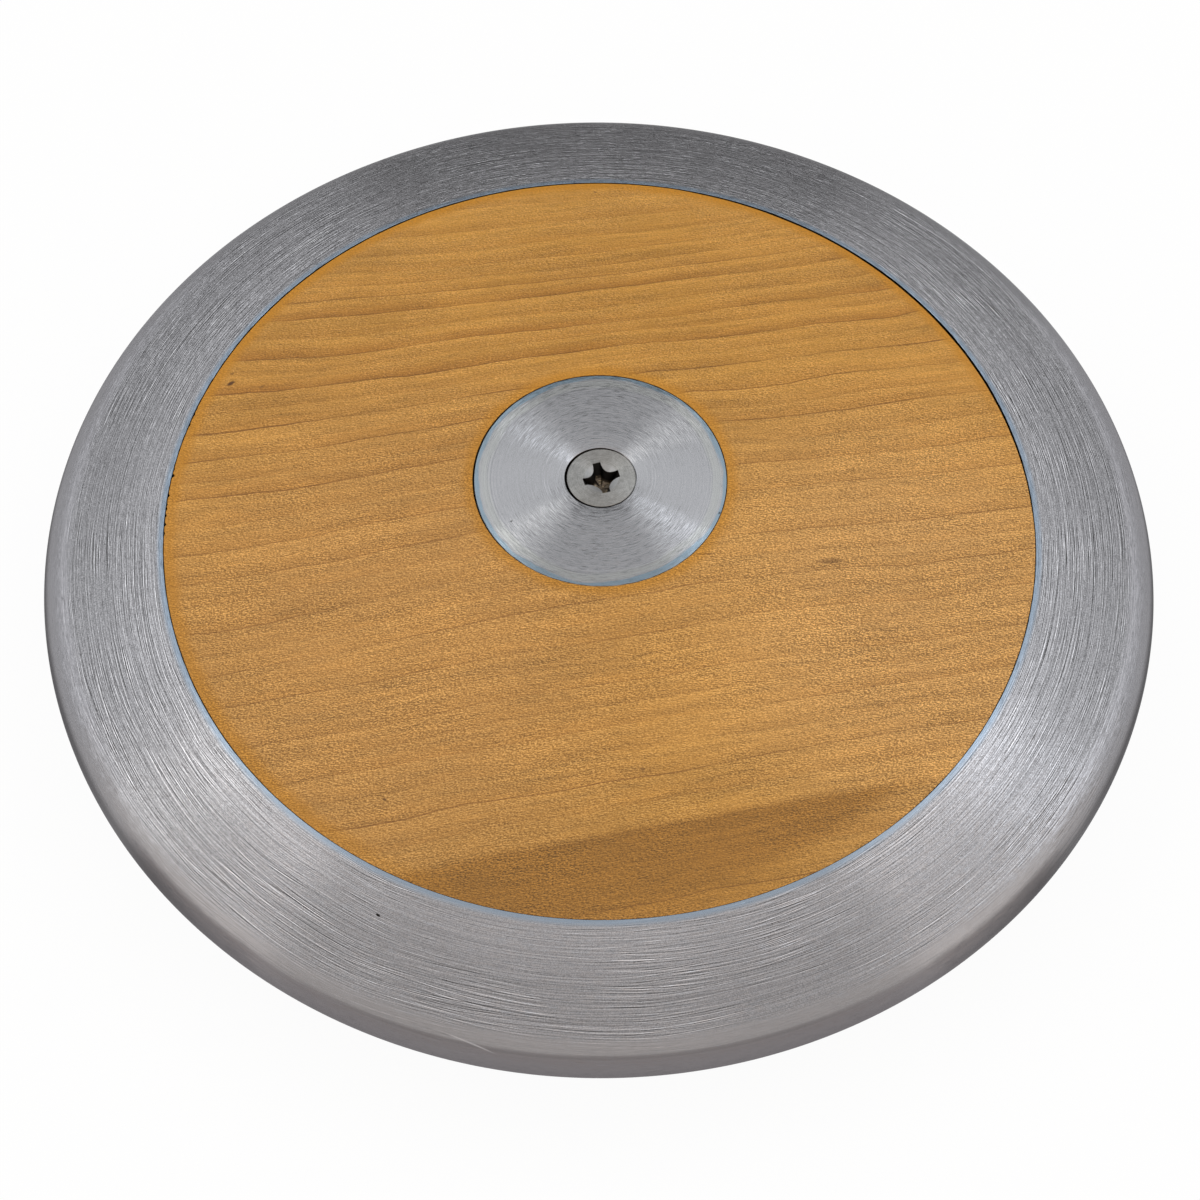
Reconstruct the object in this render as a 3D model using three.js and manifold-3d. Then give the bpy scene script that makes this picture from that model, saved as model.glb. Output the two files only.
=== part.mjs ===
// A competition throwing discus of the two-kilogram class: a heavy turned steel rim, two turned
// hardwood sides and two steel hub plates, drawn together by a countersunk screw from each side.
// Units are millimetres. +Z runs along the discus's axis, and the origin is its centre.

import * as THREE from "three";
import { mergeVertices } from "three/addons/utils/BufferGeometryUtils.js";
import Module from "manifold-3d";

const wasm = await Module();
wasm.setup();

// Outer form, the same on both sides
const outsideDiameter = 220;
const noseRadius = 6.25;
const centreThickness = 45;
const flatCentreDiameter = 54;

// Clearances
const jointGap = 0.15;
const seatGap = 0.1;
const boreGap = 0.3;
const threadGap = 0.1;

// Steel rim
const rimWidth = 24.85;
const rimWall = 11.8;
const grooveWidth = 5.4;
const ledgeWidth = 6;
const ledgeThickness = 1.9;

// Hardwood sides
const shellThickness = 6.5;
const bossWall = 9.7;
const bossFlare = 4;

// Countersunk screws with a cross recess
const headDiameter = 13.2;
const headEdge = 0.1;
const headEdgeBreak = 0.06;
const headSink = 0.05;
const coneGap = 0.25;
const shankDiameter = 6.35;
const tipSpacing = 13;
const tipChamfer = 0.8;
const recessSpan = 7.1;
const recessFloorSpan = 4.3;
const recessDepth = 3.3;
const recessPoint = 0.6;
const mouthDiameter = 6.7;
const mouthDepth = 1.2;
const wingWidth = 1.58;
const wingFloorWidth = 1.2;
const cheekRadius = 2.5;
const cheekFloorRadius = 1.3;

// Steel hub plates
const plateInset = 2.8;
const plateLand = 0.95;
const plateBevelWidth = 1.2;
const plateBevelDrop = 0.2;

// Threaded core sleeve
const sleeveWall = 3.7;
const sleeveChamfer = 0.6;

// Tuning washers, and the felt rings that keep them from rattling
const washerDiameter = 44;
const washerThickness = 1.9;
const washerCount = 4;
const feltThickness = 1;

// The turns of the two cross recesses, and the share of its clearance that the core has taken up
const upperRecessTurn = THREE.MathUtils.degToRad(17);
const lowerRecessTurn = THREE.MathUtils.degToRad(-38);
const coreDriftShare = 0.7;

// Facets
const bodyFacets = 80;
const plateFacets = 60;
const fastenerFacets = 40;
const noseSteps = 14;
const grooveSteps = 6;
const cheekSteps = 4;
const wingCount = 4;

// The flank is the straight line from the flat centre's edge that runs tangent into the round nose.
const outerRadius = outsideDiameter / 2;
const topHeight = centreThickness / 2;
const flatRadius = flatCentreDiameter / 2;
const noseCentreRadius = outerRadius - noseRadius;
const noseDistance = Math.hypot(noseCentreRadius - flatRadius, topHeight);
const flankSlope =
  Math.atan2(topHeight, noseCentreRadius - flatRadius) - Math.asin(noseRadius / noseDistance);

// Radii and heights that neighbours share
const seatRadius = outerRadius - rimWidth;
const bodyRadius = seatRadius - jointGap;
const ledgeRadius = seatRadius - ledgeWidth;
const ledgeHeight = grooveWidth / 2 + ledgeThickness;
const headRadius = headDiameter / 2;
const shankRadius = shankDiameter / 2;
const screwHoleRadius = shankRadius + boreGap;
const countersinkRadius = headRadius + headEdge + headSink + coneGap;
const countersinkDepth = countersinkRadius - screwHoleRadius;
const plateRadius = flatRadius - plateInset;
const plateFloor = topHeight - countersinkDepth - plateLand;
const sleeveBoreRadius = shankRadius + threadGap;
const sleeveRadius = sleeveBoreRadius + sleeveWall;
const coreBoreRadius = sleeveRadius + boreGap;
const coreDrift = coreDriftShare * Math.min(boreGap, coneGap);
const washerRadius = washerDiameter / 2;
const pocketRadius = washerRadius + boreGap;
const washerPitch = washerThickness + seatGap;
const stackHeight = (washerCount * washerPitch - seatGap) / 2;
const pocketHeight = stackHeight + seatGap + feltThickness + seatGap;

// Height of the flank, above the middle plane, at a radius beyond the flat centre
function flankHeight(radius) {
  return topHeight - (radius - flatRadius) * Math.tan(flankSlope);
}

// Points on an arc in the turning plane, from one angle to another, as [radius, height]
function arc(centreRadius, centreHeight, radius, from, to, steps) {
  return Array.from({ length: steps + 1 }, (_, i) => {
    const angle = from + ((to - from) * i) / steps;
    return [centreRadius + radius * Math.cos(angle), centreHeight + radius * Math.sin(angle)];
  });
}

// The upper half of an outline, given from its inside outwards, with its mirror image below and any
// points that join the two at the outside between them
function mirrored(upper, outside = []) {
  const lower = upper.map(([radius, height]) => [radius, -height]);
  return [...lower, ...outside, ...upper.toReversed()];
}

// Turns an outline of [radius, height] points round the Z axis
function turn(outline, facets) {
  const points = outline.map(([radius, height]) => new THREE.Vector2(radius, height));
  return new THREE.LatheGeometry(points, facets).rotateX(Math.PI / 2);
}

// The same, for an outline that closes on its first point
function turnRing(outline, facets) {
  return turn([...outline, outline[0]], facets);
}

// A closed mesh as a solid that can be cut
function toSolid(geometry) {
  const bare = geometry.index ? geometry.toNonIndexed() : geometry.clone();
  bare.deleteAttribute("normal");
  bare.deleteAttribute("uv");
  const merged = mergeVertices(bare);
  return new wasm.Manifold(
    new wasm.Mesh({
      numProp: 3,
      vertProperties: merged.attributes.position.array,
      triVerts: new Uint32Array(merged.index.array),
    }),
  );
}

function fromSolid(solid) {
  const mesh = solid.getMesh();
  const geometry = new THREE.BufferGeometry();
  geometry.setAttribute("position", new THREE.BufferAttribute(mesh.vertProperties, 3));
  geometry.setIndex(new THREE.BufferAttribute(mesh.triVerts, 1));
  geometry.computeVertexNormals();
  return geometry;
}

// Joins rings of equally many [x, y, z] points, each counter-clockwise seen from above and listed
// from the lowest up, into a closed solid. Its floor runs to a point at the given height.
function loft(rings, pointHeight) {
  const count = rings[0].length;
  const top = (rings.length - 1) * count;
  const floorCentre = rings.length * count;
  const roofCentre = floorCentre + 1;
  const index = [];
  for (let i = 0; i < count; i++) {
    const next = (i + 1) % count;
    index.push(floorCentre, next, i, roofCentre, top + i, top + next);
    for (let level = 0; level < top; level += count) {
      const above = level + count;
      index.push(level + i, level + next, above + next, level + i, above + next, above + i);
    }
  }
  const roofHeight = rings[rings.length - 1][0][2];
  const positions = [...rings.flat(2), 0, 0, pointHeight, 0, 0, roofHeight];
  const geometry = new THREE.BufferGeometry();
  geometry.setAttribute("position", new THREE.Float32BufferAttribute(positions, 3));
  geometry.setIndex(index);
  return geometry;
}

// The rim: straight flanks into a round nose, a rebated seat for each wooden side, and a
// round-bottomed groove turned into its inner face, which leaves a ledge under each side.
function rimGeometry() {
  const grooveHalf = grooveWidth / 2;
  const grooveArcRadius = outerRadius - rimWall - grooveHalf;
  const noseStart = Math.PI / 2 - flankSlope;
  const upper = [
    [ledgeRadius, grooveHalf],
    [ledgeRadius, ledgeHeight],
    [seatRadius, ledgeHeight],
    [seatRadius, flankHeight(seatRadius)],
  ];
  const nose = arc(noseCentreRadius, 0, noseRadius, -noseStart, noseStart, noseSteps);
  const groove = arc(grooveArcRadius, 0, grooveHalf, Math.PI / 2, -Math.PI / 2, grooveSteps);
  return turnRing([...groove, ...mirrored(upper, nose)], bodyFacets);
}

// A wooden side: the flank outside, a counterbore for the hub plate, a boss that meets the other
// side's in the middle with half of the washer pocket in it, and a dished shell out to the rim.
function sideGeometry() {
  const landHeight = ledgeHeight + seatGap;
  const counterboreRadius = plateRadius + jointGap;
  const counterboreFloor = plateFloor - seatGap;
  const bossRadius = pocketRadius + bossWall;
  const shellStart = bossRadius + bossFlare;
  const shellRoof = flankHeight(shellStart) - shellThickness;
  return turnRing(
    [
      [bodyRadius, flankHeight(bodyRadius)],
      [flatRadius, topHeight],
      [counterboreRadius, topHeight],
      [counterboreRadius, counterboreFloor],
      [coreBoreRadius, counterboreFloor],
      [coreBoreRadius, pocketHeight],
      [pocketRadius, pocketHeight],
      [pocketRadius, seatGap / 2],
      [bossRadius, seatGap / 2],
      [bossRadius, shellRoof - bossFlare],
      [shellStart, shellRoof],
      [ledgeRadius, landHeight],
      [bodyRadius, landHeight],
    ],
    bodyFacets,
  );
}

// A hub plate, countersunk for its screw, with a shallow bevel round its face
function plateGeometry() {
  return turnRing(
    [
      [countersinkRadius, topHeight],
      [screwHoleRadius, topHeight - countersinkDepth],
      [screwHoleRadius, plateFloor],
      [plateRadius, plateFloor],
      [plateRadius, topHeight - plateBevelDrop],
      [plateRadius - plateBevelWidth, topHeight],
    ],
    plateFacets,
  );
}

// One level of the cross recess: its wings, with a rounded cheek between each two
function recessRing(span, width, cheek, height) {
  const reach = span / 2;
  const half = width / 2;
  const radius = Math.min(cheek, reach - half);
  const centre = half + radius;
  const quarter = [
    [reach, -half],
    [reach, half],
    ...arc(centre, centre, radius, -Math.PI / 2, -Math.PI, cheekSteps),
  ];
  return Array.from({ length: wingCount }, (_, wing) => {
    const turnedBy = (2 * Math.PI * wing) / wingCount;
    return quarter.map(([x, y]) => [
      x * Math.cos(turnedBy) - y * Math.sin(turnedBy),
      x * Math.sin(turnedBy) + y * Math.cos(turnedBy),
      height,
    ]);
  }).flat();
}

// A screw, with the top of its head at height 0. A shallow cone opens the mouth of its recess, and
// takes the sharp edge off each cheek.
function screwGeometry() {
  const length = topHeight - headSink - tipSpacing / 2;
  const body = turn(
    [
      [0, -length],
      [shankRadius - tipChamfer, -length],
      [shankRadius, tipChamfer - length],
      [shankRadius, shankRadius - headRadius - headEdge],
      [headRadius, -headEdge],
      [headRadius, -headEdgeBreak],
      [headRadius - headEdgeBreak, 0],
      [0, 0],
    ],
    fastenerFacets,
  );
  const recess = loft(
    [
      recessRing(recessFloorSpan, wingFloorWidth, cheekFloorRadius, -recessDepth),
      recessRing(recessSpan, wingWidth, cheekRadius, 0),
      recessRing(recessSpan, wingWidth, cheekRadius, headEdge),
    ],
    -recessDepth - recessPoint,
  );
  const mouth = turn(
    [
      [0, -mouthDepth],
      [mouthDiameter / 2, 0],
      [mouthDiameter / 2, headEdge],
      [0, headEdge],
    ],
    fastenerFacets,
  );
  return fromSolid(toSolid(body).subtract(toSolid(recess)).subtract(toSolid(mouth)));
}

// The core sleeve, which both screws thread into and both hub plates are drawn down on
function sleeveGeometry() {
  const half = plateFloor - seatGap;
  const upper = [
    [sleeveBoreRadius, half - sleeveChamfer],
    [sleeveBoreRadius + sleeveChamfer, half],
    [sleeveRadius - sleeveChamfer, half],
    [sleeveRadius, half - sleeveChamfer],
  ];
  return turnRing(mirrored(upper), fastenerFacets);
}

// A flat ring that slips over the sleeve, centred on the middle plane
function ringGeometry(thickness) {
  const upper = [
    [coreBoreRadius, thickness / 2],
    [washerRadius, thickness / 2],
  ];
  return turnRing(mirrored(upper), fastenerFacets);
}

const rimSteel = new THREE.MeshStandardMaterial({ color: 0x9a9a9e, metalness: 1, roughness: 0.38 });
const plateSteel = new THREE.MeshStandardMaterial({ color: 0xa9a9ad, metalness: 1, roughness: 0.3 });
const screwSteel = new THREE.MeshStandardMaterial({ color: 0x92908e, metalness: 1, roughness: 0.35 });
const innerSteel = new THREE.MeshStandardMaterial({ color: 0x8b8d90, metalness: 1, roughness: 0.45 });
const hardwood = new THREE.MeshStandardMaterial({ color: 0xb8884d, metalness: 0, roughness: 0.5 });
const felt = new THREE.MeshStandardMaterial({ color: 0x3c3a38, metalness: 0, roughness: 0.95 });

function place(parent, name, geometry, material) {
  const mesh = new THREE.Mesh(geometry, material);
  mesh.name = name;
  parent.add(mesh);
  return mesh;
}

// Everything that one side of the discus carries, built facing up
function sideGroup(side, recessTurn) {
  const group = new THREE.Group();
  place(group, `${side}_wood_side`, sideGeometry(), hardwood);
  place(group, `${side}_hub_plate`, plateGeometry(), plateSteel);
  const screw = place(group, `${side}_screw`, screwGeometry(), screwSteel);
  screw.position.set(coreDrift, 0, topHeight - headSink);
  screw.rotation.z = recessTurn;
  const ring = place(group, `${side}_felt_ring`, ringGeometry(feltThickness), felt);
  ring.position.z = stackHeight + seatGap + feltThickness / 2;
  return group;
}

const discus = new THREE.Group();
place(discus, "rim", rimGeometry(), rimSteel);
const sleeve = place(discus, "core_sleeve", sleeveGeometry(), innerSteel);
sleeve.position.x = coreDrift;
for (let i = 0; i < washerCount; i++) {
  const washer = place(discus, `tuning_washer_${i + 1}`, ringGeometry(washerThickness), innerSteel);
  washer.position.z = (i - (washerCount - 1) / 2) * washerPitch;
}
discus.add(sideGroup("upper", upperRecessTurn));
const lowerSide = sideGroup("lower", lowerRecessTurn);
lowerSide.rotation.x = Math.PI;
discus.add(lowerSide);

export default discus;
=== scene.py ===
import math
from collections import namedtuple

import bmesh
import bpy
from mathutils import Matrix, Vector, noise


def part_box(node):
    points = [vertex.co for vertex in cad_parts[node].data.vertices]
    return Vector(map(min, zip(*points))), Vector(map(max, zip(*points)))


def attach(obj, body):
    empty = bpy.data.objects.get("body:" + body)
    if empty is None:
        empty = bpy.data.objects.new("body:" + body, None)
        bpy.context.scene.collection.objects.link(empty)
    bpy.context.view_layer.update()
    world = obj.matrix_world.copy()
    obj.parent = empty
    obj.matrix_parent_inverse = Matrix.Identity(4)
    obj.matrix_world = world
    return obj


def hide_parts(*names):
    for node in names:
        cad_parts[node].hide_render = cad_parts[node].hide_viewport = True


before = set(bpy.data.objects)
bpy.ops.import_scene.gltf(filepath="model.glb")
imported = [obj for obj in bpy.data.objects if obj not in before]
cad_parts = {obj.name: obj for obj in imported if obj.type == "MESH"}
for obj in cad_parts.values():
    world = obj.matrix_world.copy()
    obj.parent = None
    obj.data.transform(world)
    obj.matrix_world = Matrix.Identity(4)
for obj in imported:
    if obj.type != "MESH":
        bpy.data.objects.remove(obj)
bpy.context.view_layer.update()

# A competition throwing discus: a turned steel rim, two turned hardwood sides, and at the centre of each
# side a steel plate and a countersunk screw.

# Lengths below are in millimetres unless their names say otherwise, and MM turns them into metres.
MM = 0.001

# Sizes that the frame gives. The rim is turned a little smaller, so that rounding can't carry it past the
# frame's box.
BOX_MARGIN = 0.001
rim_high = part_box("rim")[1]
wood_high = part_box("upper_wood_side")[1]
plate_low, plate_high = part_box("upper_hub_plate")
screw_low, screw_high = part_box("upper_screw")
OUTER_RADIUS = rim_high.x / MM - BOX_MARGIN
TOP_HEIGHT = plate_high.z / MM
WOOD_RADIUS = wood_high.x / MM
PLATE_RADIUS = plate_high.x / MM
PLATE_FLOOR = plate_low.z / MM
SCREW_CENTRE = (screw_low.x + screw_high.x) / 2 / MM
HEAD_RADIUS = (screw_high.x - screw_low.x) / 2 / MM
HEAD_TOP = screw_high.z / MM
SCREW_TIP = screw_low.z / MM

# Sizes of the turned profile. A break is the width of a broken edge.
FLAT_RADIUS = 27
NOSE_RADIUS = 6.25
SEAT_RADIUS = 85.15
LEDGE_RADIUS = 79.15
LEDGE_HEIGHT = 4.6
LEDGE_BREAK = 0.1
RIM_BREAK = 0.06
GROOVE_WIDTH = 5.4
RIM_WALL = 11.8
SHELL_THICKNESS = 6.5
WOOD_BREAK = 0.07
POCKET_RADIUS = 22.3
POCKET_HEIGHT = 5.15
BOSS_RADIUS = 32
BOSS_FLARE = 4
CORE_BORE_RADIUS = 7.275
SEAT_GAP = 0.1
COUNTERBORE_GAP = 0.06
PLATE_BEVEL = 1.2
PLATE_DROP = 0.08
PLATE_BREAK = 0.12

# Rings of points on straight faces, which keep the shading of their edges out of their middles. The
# plate's two are inset from its countersink and from its bevel.
RIM_FLANK_SHARES = (0.2, 0.4, 0.6, 0.8)
WOOD_FLANK_RINGS = (80, 72, 64, 56, 48, 40, 33, 29)
PLATE_FACE_INSETS = (4, 6)
HEAD_FACE_RING = 5.2

# Sizes of the screw and its countersink
COUNTERSINK_RADIUS = 7
COUNTERSINK_BREAK = 0.16
COUNTERSINK_DROP = 0.07
SCREW_HOLE_RADIUS = 3.475
SHANK_RADIUS = 3.175
NECK_LENGTH = 0.6
CONE_BREAK = 0.1
HEAD_BREAK_WIDTH = 0.12
HEAD_BREAK_DEPTH = 0.08
THREAD_PITCH = 1.27
THREAD_DEPTH = 0.6
THREAD_HALF_SHARE = 0.42
TIP_CHAMFER = 0.8
RECESS_TURN = {"upper": 17, "lower": -38}
WING_LENGTH = 3.55
WING_FLOOR_LENGTH = 2.15
WING_HALF = 0.79
WING_FLOOR_HALF = 0.6
CHEEK_RADIUS = 2.5
CHEEK_FLOOR_RADIUS = 1.3
RECESS_DEPTH = 3.3
RECESS_POINT = 0.6
MOUTH_RADIUS = 3.35
MOUTH_SLOPE = 0.36

# How many steps a full turn of each piece, an arc, a turn of the thread and the recess's wall have
RIM_STEPS = 512
WOOD_STEPS = 1024
PLATE_STEPS = 256
SCREW_STEPS = 384
FLOOR_STEPS = 64
NOSE_STEPS = 40
GROOVE_STEPS = 12
THREAD_STEPS = 12
RECESS_STEPS = 8
LIP_HALVINGS = 30

NOSE_CENTRE = OUTER_RADIUS - NOSE_RADIUS
NOSE_DISTANCE = math.hypot(NOSE_CENTRE - FLAT_RADIUS, TOP_HEIGHT)
FLANK_SLOPE = math.atan2(TOP_HEIGHT, NOSE_CENTRE - FLAT_RADIUS) - math.asin(NOSE_RADIUS / NOSE_DISTANCE)

# The camera, fitted to the photograph's outer edge, wood joint and hub plate
CAMERA_DISTANCE = 418.9
CAMERA_ELEVATION = math.radians(57.79)
CAMERA_YAW = math.radians(-0.03)
CAMERA_PITCH = math.radians(-1.64)
CAMERA_ROLL = math.radians(-0.74)
CAMERA_LENS = 62.7
CAMERA_SENSOR = 36

# The studio. Its walls and lamps run towards one point over the back wall, whose direction from the object
# has this share of its length along y. The floor shows as white by this share of glow.
STUDIO_POINT = math.cos(CAMERA_ELEVATION)
WALL_SLOPE = 1.59
SOFTBOX_WIDTH_METRES = 0.124
SOFTBOX_LENGTH_METRES = 0.632
FLOOR_RADIUS = 3000
FLOOR_WALL = 250
FLOOR_GLOW = 0.94


def colour(red, green, blue):
    """A colour written as in a picture, from 0 to 255, as the shader's linear values"""
    shares = [level / 255 for level in (red, green, blue)]
    return tuple(s / 12.92 if s <= 0.04045 else ((s + 0.055) / 1.055) ** 2.4 for s in shares) + (1.0,)


def tinted(base, red, green, blue):
    return (base[0] * red, base[1] * green, base[2] * blue, 1.0)


# Colours of the metal, of the dirt on it, and of the light and shade painted on it
STEEL = colour(149, 148, 150)
BLUE = tinted(STEEL, 0.90, 1.14, 1.36)
NOSE_LIGHT = tinted(STEEL, 1.42, 1.41, 1.44)
NOSE_CORNER = tinted(STEEL, 0.42, 0.40, 0.40)
BAND = colour(127, 123, 125)
BAND_LINE = tinted(BAND, 0.7, 0.7, 0.7)
SCRATCH = tinted(STEEL, 1.5, 1.5, 1.5)
PLATE_STEEL = colour(153, 153, 155)
PLATE_RING = tinted(PLATE_STEEL, 1.08, 1.10, 1.02)
PLATE_EDGE = tinted(PLATE_STEEL, 1.05, 1.1, 1.15)
SEAM = tinted(PLATE_STEEL, 0.62, 0.83, 0.96)
SCREW_STEEL = colour(150, 149, 146)
MOUTH_HIGHLIGHT = tinted(SCREW_STEEL, 1.15, 1.17, 1.22)
INNER_STEEL = colour(158, 160, 163)
STAIN = colour(120, 104, 88)
# Dark for real grime specks, and for painted shade in gaps, in joints and at the nose's edge
GRIME_AND_SHADE = colour(30, 27, 24)
DUST = colour(104, 94, 82)
GLINT = colour(206, 190, 150)
WOOL = colour(112, 110, 106)

# Colours of the wood: plain, where hands have rubbed it, in the painted light and shade of its finest
# relief, and in its figure
TAN = colour(184, 134, 58)
LEFT_HAND_TAN = colour(176, 129, 70)
RIGHT_HAND_TAN = colour(183, 138, 80)
LIGHT_GRAIN = colour(195, 151, 88)
DARK_GRAIN = colour(178, 126, 52)
WORN_LIT_GRAIN = colour(212, 171, 106)
LATE_WOOD = colour(150, 98, 34)
HEART_WOOD = colour(143, 99, 38)
GROWTH_LINE = colour(108, 68, 28)
FLECK = colour(72, 42, 22)
THICK_LACQUER = colour(184, 125, 28)


def make_camera():
    back = Vector((0, -math.cos(CAMERA_ELEVATION), math.sin(CAMERA_ELEVATION)))
    right = Vector((1, 0, 0))
    up = back.cross(right)
    turn = Matrix.Rotation(CAMERA_YAW, 3, up) @ Matrix.Rotation(CAMERA_PITCH, 3, right)
    location = back * CAMERA_DISTANCE * MM
    right, up, back = turn @ right, turn @ up, turn @ back
    roll = Matrix.Rotation(-CAMERA_ROLL, 3, back)
    axes = Matrix((roll @ right, roll @ up, back)).transposed()
    camera = bpy.data.objects.new("camera", bpy.data.cameras.new("camera"))
    camera.data.lens = CAMERA_LENS
    camera.data.sensor_width = CAMERA_SENSOR
    camera.matrix_world = Matrix.Translation(location) @ axes.to_4x4()
    bpy.context.scene.collection.objects.link(camera)
    bpy.context.scene.camera = camera


make_camera()


class Graph:
    """A node tree under construction. Each call adds a node and returns its output, and each value may
    be a number or the output of an earlier node."""

    def __init__(self, tree):
        self.tree = tree

    def put(self, socket, value):
        if isinstance(value, bpy.types.NodeSocket):
            self.tree.links.new(value, socket)
        elif value is not None:
            socket.default_value = value

    def node(self, kind, inputs=(), **settings):
        node = self.tree.nodes.new("ShaderNode" + kind)
        for key, value in settings.items():
            setattr(node, key, value)
        for key, value in dict(inputs).items():
            self.put(node.inputs[key], value)
        return node

    def math(self, operation, *values):
        return self.node("Math", enumerate(values), operation=operation).outputs[0]

    def vector(self, operation, *values):
        return self.node("VectorMath", enumerate(values), operation=operation).outputs[0]

    def scale(self, vector, factor):
        return self.node("VectorMath", {0: vector, "Scale": factor}, operation="SCALE").outputs[0]

    def add(self, *values):
        total = values[0]
        for value in values[1:]:
            total = self.math("ADD", total, value)
        return total

    def times(self, *values):
        total = values[0]
        for value in values[1:]:
            total = self.math("MULTIPLY", total, value)
        return total

    def weighted(self, *pairs):
        """The sum of values, each times its weight"""
        return self.add(*(self.times(value, weight) for value, weight in pairs))

    def less(self, value, other):
        return self.math("SUBTRACT", value, other)

    def length(self, x, y):
        return self.math("SQRT", self.add(self.times(x, x), self.times(y, y)))

    def distance(self, x, y, centre):
        return self.length(self.less(x, centre[0]), self.less(y, centre[1]))

    def combine(self, x=0.0, y=0.0, z=0.0):
        return self.node("CombineXYZ", enumerate((x, y, z))).outputs[0]

    def position(self):
        """The place on the piece as three numbers in millimetres"""
        place = self.node("TexCoord").outputs["Object"]
        return self.node("SeparateXYZ", {0: self.scale(place, 1 / MM)}).outputs

    def in_units(self, places, *sizes):
        """The places in units of one size, or each in units of its own"""
        if len(sizes) == 1:
            sizes = sizes * len(places)
        return [self.times(place, 1 / size) for place, size in zip(places, sizes)]

    def noise(self, x, y, z=0.0, detail=2.0, distortion=0.0):
        """Noise about one unit in size: -1 to 1, mostly within 0.4"""
        inputs = {"Vector": self.combine(x, y, z), "Scale": 1.0, "Detail": detail, "Distortion": distortion}
        return self.line(self.node("TexNoise", inputs).outputs["Fac"], 0, 1, -1, 1)

    def embossed(self, x, y, z, shift, detail=1.0, distortion=0.0):
        """A noise less itself a little further on, so that each spot has a painted lit side and a painted
        shaded one
        """
        further = [self.add(place, step) for place, step in zip((x, y, z), shift)]
        return self.less(self.noise(x, y, z, detail, distortion), self.noise(*further, detail, distortion))

    def ease(self, value, start, end, low=0.0, high=1.0):
        """low up to start and high from end on, with a smooth rise between; end may be below start"""
        inputs = {"Value": value, "From Min": start, "From Max": end, "To Min": low, "To Max": high}
        return self.node("MapRange", inputs, interpolation_type="SMOOTHSTEP").outputs[0]

    def line(self, value, start, end, low, high, clamp=False):
        """The same with a straight rise, which goes on past both ends unless clamped"""
        inputs = {"Value": value, "From Min": start, "From Max": end, "To Min": low, "To Max": high}
        return self.node("MapRange", inputs, clamp=clamp).outputs[0]

    def band(self, value, centre, half, soft):
        """1 within half of centre, and 0 from soft further out"""
        away = self.math("ABSOLUTE", self.less(value, centre))
        return self.ease(away, half + soft, half)

    def spot(self, x, y, centre, length, width, turn):
        """1 at the centre of a long mark, and 0 from its edge on"""
        cosine, sine = math.cos(math.radians(turn)), math.sin(math.radians(turn))
        dx, dy = self.less(x, centre[0]), self.less(y, centre[1])
        along = self.add(self.times(dx, cosine / length), self.times(dy, sine / length))
        across = self.less(self.times(dy, cosine / width), self.times(dx, sine / width))
        return self.ease(self.length(along, across), 0.5, 0.2)

    def curve(self, value, points):
        """A value read from a list of (value, result) pairs, straight between them"""
        low, high = points[0][0], points[-1][0]
        node = self.node("FloatCurve", {"Value": self.line(value, low, high, 0.0, 1.0)})
        dots = node.mapping.curves[0].points
        dots[0].location = (0, points[0][1])
        dots[1].location = (1, points[-1][1])
        for place, result in points[1:-1]:
            dots.new((place - low) / (high - low), result)
        for dot in dots:
            dot.handle_type = "VECTOR"
        node.mapping.update()
        return node.outputs[0]

    def mix(self, factor, below, above):
        """The colour below at a factor of 0, and the one above at 1"""
        node = self.node("Mix", data_type="RGBA")
        for index, value in ((0, factor), (6, below), (7, above)):
            self.put(node.inputs[index], value)
        return node.outputs[2]

    def shade(self, base, factor):
        """A colour times a number"""
        if not isinstance(base, bpy.types.NodeSocket):
            base = base[:3]
        return self.scale(base, factor)

    def walls(self):
        """1 on faces that stand upright, 0 on those that lie flat"""
        normal = self.node("SeparateXYZ", {0: self.node("NewGeometry").outputs["True Normal"]}).outputs[2]
        return self.ease(self.math("ABSOLUTE", normal), 0.6, 0.3)

    def bump(self, height, distance):
        """A relief whose height of one unit is the given length"""
        return self.node("Bump", {"Height": height, "Distance": distance * MM, "Strength": 1.0}).outputs[0]


class Material(Graph):
    """A material under construction, whose colour so far is shown"""

    def __init__(self, name, **settings):
        self.material = bpy.data.materials.new(name)
        self.material.use_nodes = True
        super().__init__(self.material.node_tree)
        self.shader = self.tree.nodes["Principled BSDF"]
        self.output = self.tree.nodes["Material Output"].inputs["Surface"]
        self.shown = None
        for key, value in settings.items():
            self.set(key.replace("_", " "), value)

    def set(self, key, value):
        self.put(self.shader.inputs[key], value)

    def tint(self, tint, *factors):
        """Lays a tint over the colour so far, as thick as the factors multiplied say"""
        self.shown = self.mix(self.times(*factors), self.shown, tint)

    def streak(self, turn):
        """The direction of the shine's streaks, as a share of a full turn"""
        self.set("Anisotropic Rotation", turn)
        self.set("Tangent", self.node("Tangent", direction_type="RADIAL", axis="Z").outputs[0])


# One set of emery marks round a centre: their length as a share of the distance to it, their width and
# weight, the size of the patches that they show in, whether the few boldest stand out, and the
# (radius, half width, soft edge) of the ring that they are kept to
Marks = namedtuple("Marks", "centre length width weight patch bold zone", defaults=(0, False, None))

# How a turned steel is finished: how much its marks change the colour, how strong its finest grain is, how
# rough it is, how steep the marks and the finest turned grooves are, and how far the marks turn the
# shine's streaks, as a share of a full turn
Polish = namedtuple("Polish", "gain grain roughness tilt groove twist")

# The turn at which the shine's streaks run outwards from the centre
OUTWARDS = 0.25

# The sizes of the finest grain, of the clouds, and of the finest grooves along x, y and the outline
GRAIN_SIZE = 0.22
CLOUD_SIZE = 23
GROOVE_SIZES = (2.0, 2.0, 0.05)

# How far apart in the noise the sets of marks and their patches are taken, how far a mark's dark line lies
# from its light one, as a share of its width, and how much the boldest are raised
MARKS_STEP = 7.3
PATCH_STEP = 3.7
MARK_OFFSET = 0.6
BOLD_GAIN = 3.5


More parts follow.
